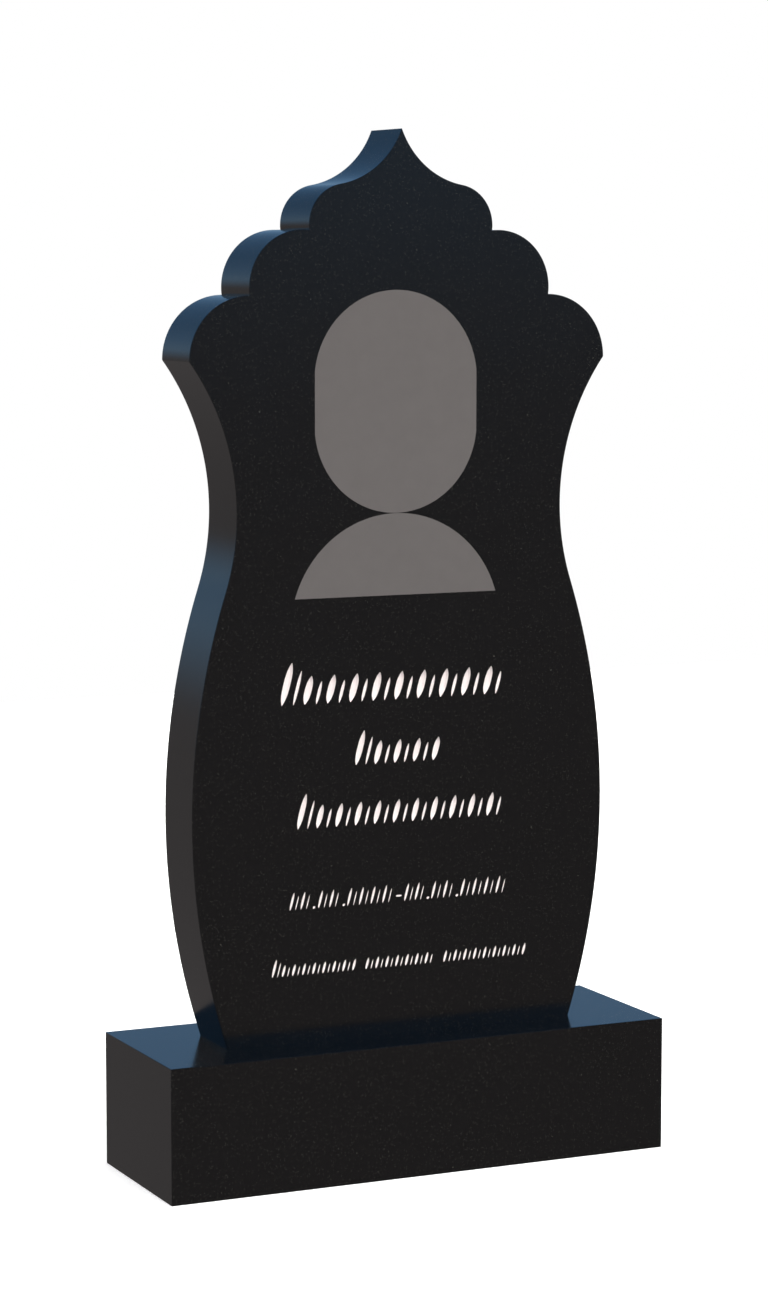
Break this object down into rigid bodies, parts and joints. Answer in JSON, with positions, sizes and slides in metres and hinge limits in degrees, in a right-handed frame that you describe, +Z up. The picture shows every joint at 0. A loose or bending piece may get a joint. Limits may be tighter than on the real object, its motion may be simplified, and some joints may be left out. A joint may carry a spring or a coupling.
{
  "type": "headstone",
  "caption": "Upright headstone: a waisted, round-bellied slab with a lobed and pointed head and an inscribed front, standing on a low rectangular plinth.",
  "frame": {"origin": "centre of the plinth's underside, on the ground", "axes": "+Z up, the slab's inscribed face looks along -Y, +X to the right as a visitor reads it"},
  "size_m": [0.6, 0.2, 1.1503],
  "materials": {
    "stele_stone": "polished",
    "plinth_stone": "polished",
    "inscription_paint": "satin"
  },
  "bodies": {
    "root": {"stele": "stele_stone", "plinth": "plinth_stone"}
  },
  "joints": []
}
